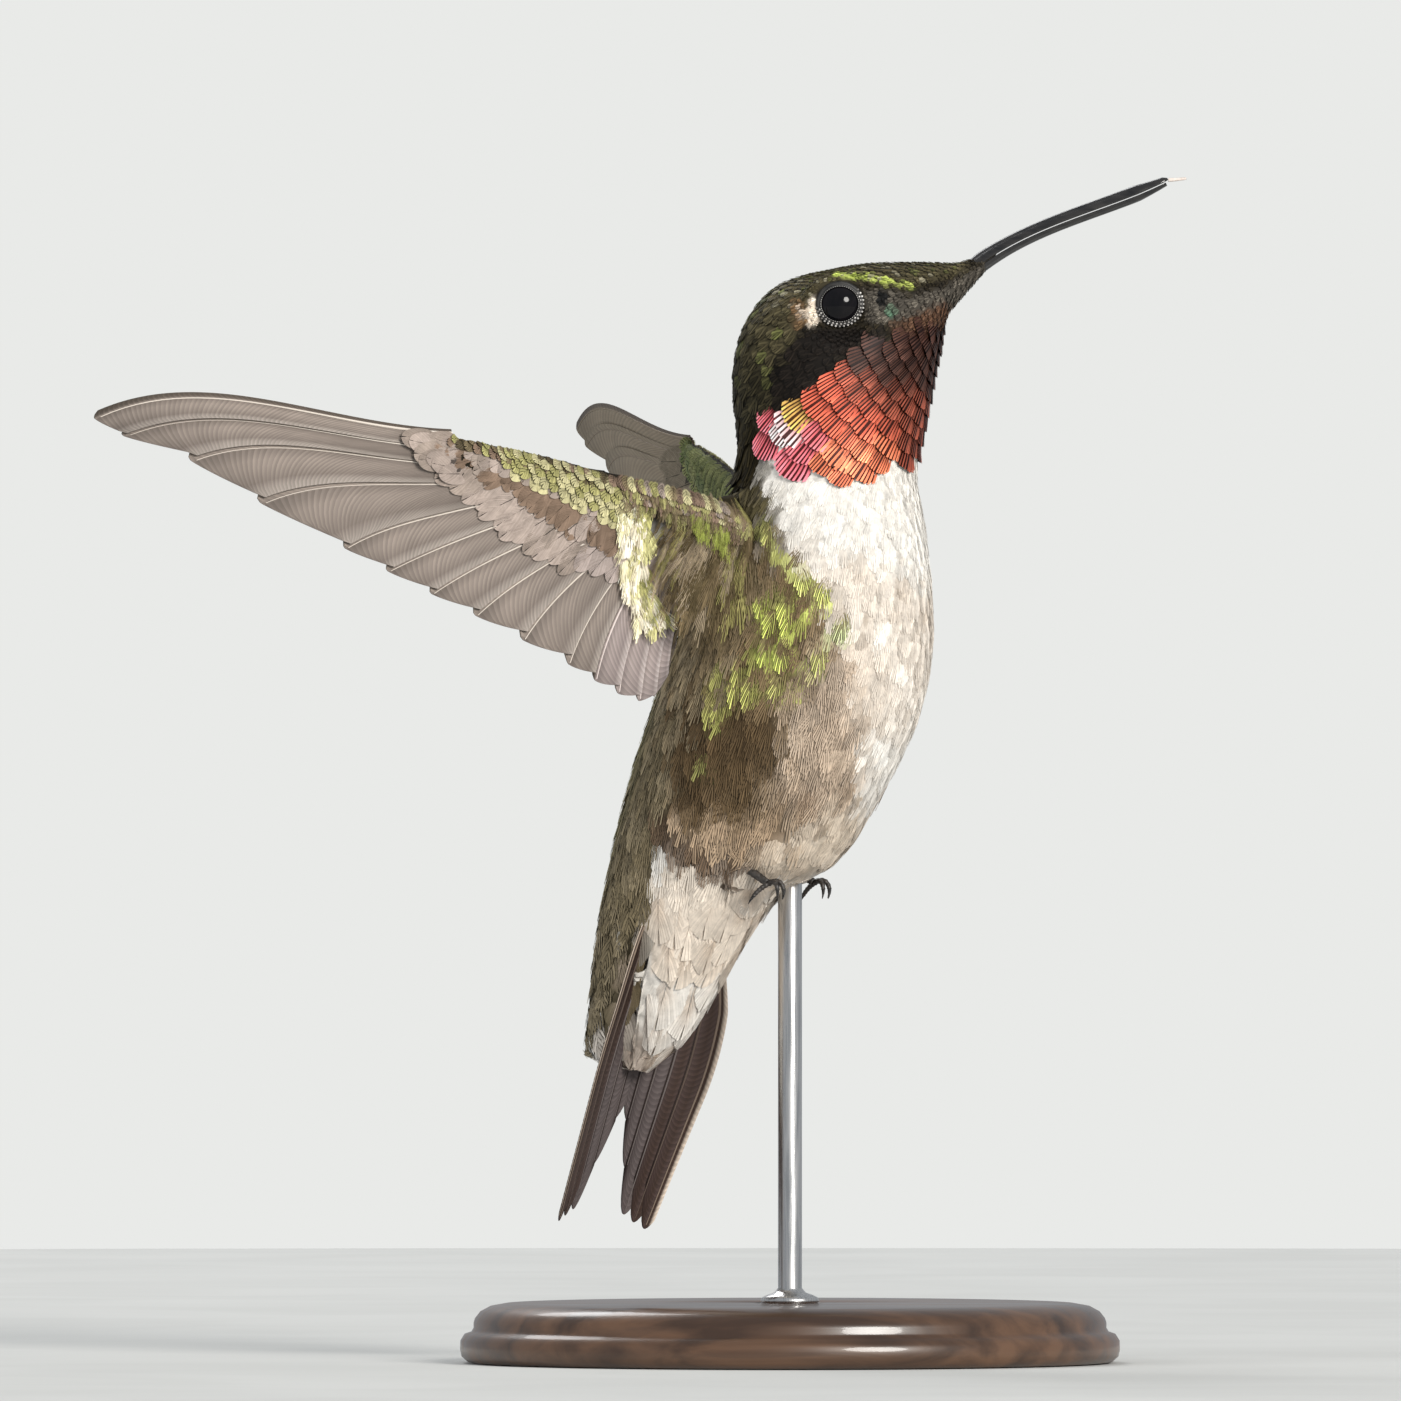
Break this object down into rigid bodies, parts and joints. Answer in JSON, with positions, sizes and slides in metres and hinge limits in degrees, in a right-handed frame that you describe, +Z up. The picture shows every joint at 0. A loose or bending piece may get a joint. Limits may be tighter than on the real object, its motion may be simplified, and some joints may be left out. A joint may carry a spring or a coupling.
{
  "type": "ruby-throated hummingbird",
  "caption": "Life-size still model of a male ruby-throated hummingbird hovering with its wings spread, held by a thin rod on a round wooden base.",
  "frame": {"origin": "centre of the underside of the stand's round base, straight below the rod", "axes": "+Z up along the rod, the bill points to +X and upward, the bird's right side faces -Y"},
  "size_m": [0.0724, 0.0866, 0.0792],
  "materials": {
    "head_feathers": "iridescent feathers, dark green crown and red throat",
    "body_feathers": "soft feathers, white breast, green and brown-grey flanks and back",
    "rump_feathers": "grey-green feathers",
    "undertail": "white feathers with buff-grey centres",
    "wing_lining": "small green and brown feathers",
    "flight_vane": "thin translucent grey vanes with pale shafts",
    "tail_vane": "dark purple-grey vanes with pale shafts",
    "bill_horn": "glossy black horn",
    "tongue": "moist white",
    "eye": "glossy black",
    "foot_skin": "dark scaly skin",
    "base_wood": "dark satin turned wood",
    "rod_steel": "thin satin steel rod"
  },
  "bodies": {
    "root": {"bill_lower": "bill_horn", "bill_upper": "bill_horn", "eye_left": "eye", "eye_right": "eye", "foot_left": "foot_skin", "foot_right": "foot_skin", "head": "head_feathers", "leg_left": "foot_skin", "leg_right": "foot_skin", "neck": "body_feathers", "rectrix_left_1": "tail_vane", "rectrix_left_2": "tail_vane", "rectrix_left_3": "tail_vane", "rectrix_left_4": "tail_vane", "rectrix_left_5": "tail_vane", "rectrix_right_1": "tail_vane", "rectrix_right_2": "tail_vane", "rectrix_right_3": "tail_vane", "rectrix_right_4": "tail_vane", "rectrix_right_5": "tail_vane", "rump": "rump_feathers", "stand_base": "base_wood", "stand_rod": "rod_steel", "tongue": "tongue", "trunk": "body_feathers", "undertail_coverts": "undertail", "uppertail_coverts": "rump_feathers", "wing_left_arm": "wing_lining", "wing_left_hand": "wing_lining", "wing_left_primaries": "flight_vane", "wing_left_secondaries": "flight_vane", "wing_right_arm": "wing_lining", "wing_right_hand": "wing_lining", "wing_right_primaries": "flight_vane", "wing_right_secondaries": "flight_vane"}
  },
  "joints": []
}
